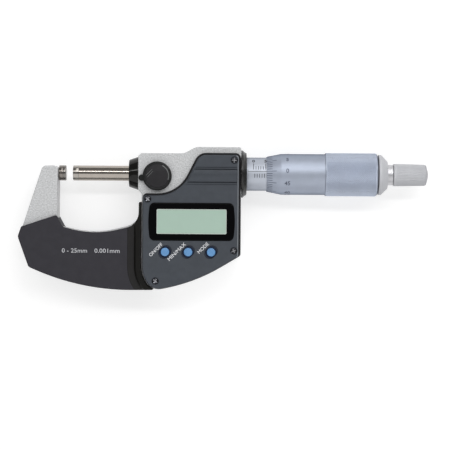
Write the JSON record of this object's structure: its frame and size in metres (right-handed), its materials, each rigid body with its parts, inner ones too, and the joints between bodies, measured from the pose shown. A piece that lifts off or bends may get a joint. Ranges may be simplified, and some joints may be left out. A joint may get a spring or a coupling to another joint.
{
  "type": "digital outside micrometer",
  "caption": "Digital outside micrometer: C-shaped frame with grips, anvil and spindle, display housing, clamp knob, graduated sleeve, knurled thimble and ratchet.",
  "frame": {"origin": "centre of the anvil's measuring face", "axes": "+X along the spindle towards the ratchet, +Y out of the throat towards the spindle side, +Z out of the display; it lies on its back"},
  "size_m": [0.1698, 0.0594, 0.0207],
  "materials": {
    "hammered_paint": "light silver-grey hammered enamel",
    "ground_steel": "fine ground, bright",
    "carbide": "lapped carbide",
    "satin_chrome": "satin chrome plate",
    "grip_plastic": "fine-textured dark grey moulding",
    "cover_plastic": "fine-textured blue-grey moulding",
    "black_plastic": "semi-gloss black moulding",
    "black_rubber": "matt black rubber",
    "window_plastic": "clear window with a black printed border",
    "lcd_glass": "grey-green liquid crystal display",
    "board_laminate": "green glass-fibre laminate",
    "key_plastic": "light blue moulding",
    "ratchet_plastic": "pale lilac-grey moulding",
    "brass": "plain turned brass",
    "black_steel": "blackened steel"
  },
  "bodies": {
    "frame": {"frame": "hammered_paint", "anvil": "ground_steel", "anvil_tip": "carbide", "front_grip": "grip_plastic", "rear_grip": "grip_plastic", "front_case": "cover_plastic", "case_gasket": "black_rubber", "display_window": "window_plastic", "lcd_panel": "lcd_glass", "circuit_board": "board_laminate", "keypad_mat": "black_rubber", "case_screw_1": "black_steel", "case_screw_2": "black_steel", "case_screw_3": "black_steel", "case_screw_4": "black_steel", "battery": "ground_steel", "battery_holder": "black_plastic", "battery_spring": "brass", "battery_side_contact": "brass", "spindle_wiper": "black_plastic", "wiper_seal": "black_rubber", "clamp_shoe": "brass", "encoder_stator": "board_laminate", "stem": "ground_steel", "adjusting_nut": "brass", "sleeve_collar": "black_plastic", "sleeve": "satin_chrome"},
    "rotor": {"rotor_bush": "brass", "rotor_key": "ground_steel", "encoder_rotor": "board_laminate"},
    "spindle": {"spindle": "ground_steel", "spindle_tip": "carbide", "thimble": "satin_chrome", "ratchet_hub": "ratchet_plastic", "ratchet_click_ring": "ground_steel", "ratchet_spring": "ground_steel", "ratchet_screw": "ground_steel"},
    "ratchet": {"ratchet_knob": "ratchet_plastic", "ratchet_cap": "ratchet_plastic"},
    "clamp": {"clamp_knob": "black_plastic", "clamp_screw": "ground_steel"},
    "left_button": {"left_button": "key_plastic"},
    "middle_button": {"middle_button": "key_plastic"},
    "right_button": {"right_button": "key_plastic"},
    "cap_ring": {"battery_cap_oring": "black_rubber"},
    "cap": {"battery_cap": "black_plastic"}
  },
  "joints": [
    {"name": "thimble_turn", "type": "hinge", "parent": "frame", "child": "rotor", "pos_m": [0.0588, 0, 0], "axis": [1, 0, 0], "range_deg": [-2088, 15912]},
    {"name": "spindle_feed", "type": "slide", "parent": "rotor", "child": "spindle", "axis": [1, 0, 0], "range_m": [-0.00288, 0.02208]},
    {"name": "ratchet_turn", "type": "hinge", "parent": "spindle", "child": "ratchet", "pos_m": [0.1427, 0, 0], "axis": [1, 0, 0], "continuous": true},
    {"name": "clamp_turn", "type": "hinge", "parent": "frame", "child": "clamp", "pos_m": [0.0381, -0.00125, 0.0072], "axis": [0, 0, 1], "range_deg": [-75, 15]},
    {"name": "left_button_press", "type": "slide", "parent": "frame", "child": "left_button", "axis": [0, 0, -1], "range_m": [0, 0.0004], "stiffness_N_per_m": 600, "springref_m": -0.0004},
    {"name": "middle_button_press", "type": "slide", "parent": "frame", "child": "middle_button", "axis": [0, 0, -1], "range_m": [0, 0.0004], "stiffness_N_per_m": 600, "springref_m": -0.0004},
    {"name": "right_button_press", "type": "slide", "parent": "frame", "child": "right_button", "axis": [0, 0, -1], "range_m": [0, 0.0004], "stiffness_N_per_m": 600, "springref_m": -0.0004},
    {"name": "cap_lift", "type": "slide", "parent": "frame", "child": "cap_ring", "axis": [0, 0, -1], "range_m": [0, 0.0015]},
    {"name": "cap_turn", "type": "hinge", "parent": "cap_ring", "child": "cap", "pos_m": [0.051, -0.027, -0.0094], "axis": [0, 0, -1], "range_deg": [0, 541]}
  ],
  "couplings": [
    {"joint": "thimble_turn", "follows": "spindle_feed", "rad_per_m": 12566},
    {"joint": "cap_turn", "follows": "cap_lift", "rad_per_m": 6283.2}
  ]
}
